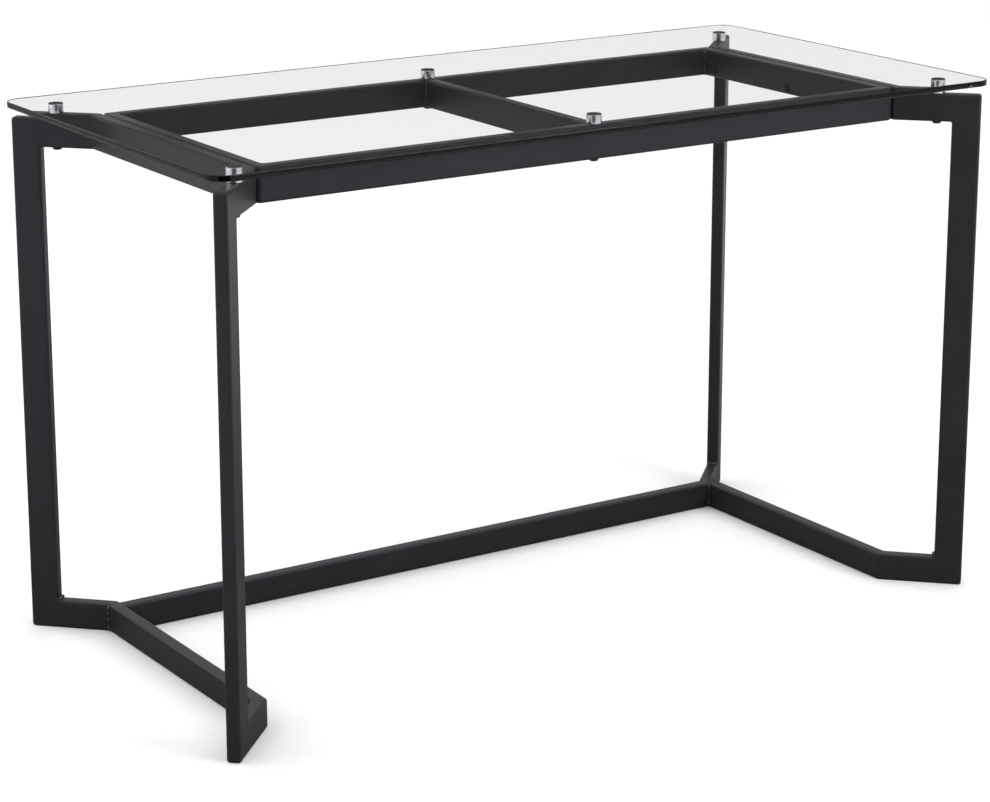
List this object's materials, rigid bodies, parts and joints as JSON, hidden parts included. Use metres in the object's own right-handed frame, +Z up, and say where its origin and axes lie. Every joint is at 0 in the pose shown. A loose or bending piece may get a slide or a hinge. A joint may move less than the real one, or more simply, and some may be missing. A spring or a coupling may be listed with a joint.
{
  "type": "desk",
  "caption": "Rectangular clear glass desk top held on short polished standoffs above a black frame of flat steel tube with diagonal corner arms.",
  "frame": {"origin": "on the floor, at the bottom centre of the bounding box", "axes": "+X along the desk's width, -Y towards the sitter, +Z up"},
  "size_m": [1.2, 0.6, 0.73],
  "materials": {
    "clear_glass": "polished clear float glass with a dark green edge",
    "polished_steel": "polished",
    "bonding_pad": "matte dark bonding disc",
    "black_bolt": "satin black",
    "black_frame": "satin black powder coat with a fine grain",
    "zinc_plate": "bright zinc plate"
  },
  "bodies": {
    "root": {"glass_top": "clear_glass", "standoff_left_front": "polished_steel", "standoff_left_back": "polished_steel", "standoff_right_front": "polished_steel", "standoff_right_back": "polished_steel", "standoff_middle_front": "polished_steel", "standoff_middle_back": "polished_steel", "pad_left_front": "bonding_pad", "pad_left_back": "bonding_pad", "pad_right_front": "bonding_pad", "pad_right_back": "bonding_pad", "pad_middle_front": "bonding_pad", "pad_middle_back": "bonding_pad", "standoff_bolt_left_front": "black_bolt", "standoff_bolt_left_back": "black_bolt", "standoff_bolt_right_front": "black_bolt", "standoff_bolt_right_back": "black_bolt", "standoff_bolt_middle_front": "black_bolt", "standoff_bolt_middle_back": "black_bolt", "left_front_leg": "black_frame", "left_top_front_arm": "black_frame", "left_top_rail": "black_frame", "left_top_back_arm": "black_frame", "left_back_leg": "black_frame", "left_foot_back_arm": "black_frame", "left_foot_rail": "black_frame", "left_foot_front_arm": "black_frame", "right_front_leg": "black_frame", "right_top_front_arm": "black_frame", "right_top_rail": "black_frame", "right_top_back_arm": "black_frame", "right_back_leg": "black_frame", "right_foot_back_arm": "black_frame", "right_foot_rail": "black_frame", "right_foot_front_arm": "black_frame", "deck_front_rail": "black_frame", "deck_right_rail": "black_frame", "deck_back_rail": "black_frame", "deck_left_rail": "black_frame", "deck_cross_rail": "black_frame", "stretcher": "black_frame", "deck_bolt_left_front": "black_bolt", "deck_bolt_left_middle": "black_bolt", "deck_bolt_left_back": "black_bolt", "deck_bolt_right_front": "black_bolt", "deck_bolt_right_middle": "black_bolt", "deck_bolt_right_back": "black_bolt", "insert_left_front": "zinc_plate", "insert_left_middle": "zinc_plate", "insert_left_back": "zinc_plate", "insert_right_front": "zinc_plate", "insert_right_middle": "zinc_plate", "insert_right_back": "zinc_plate"}
  },
  "joints": []
}
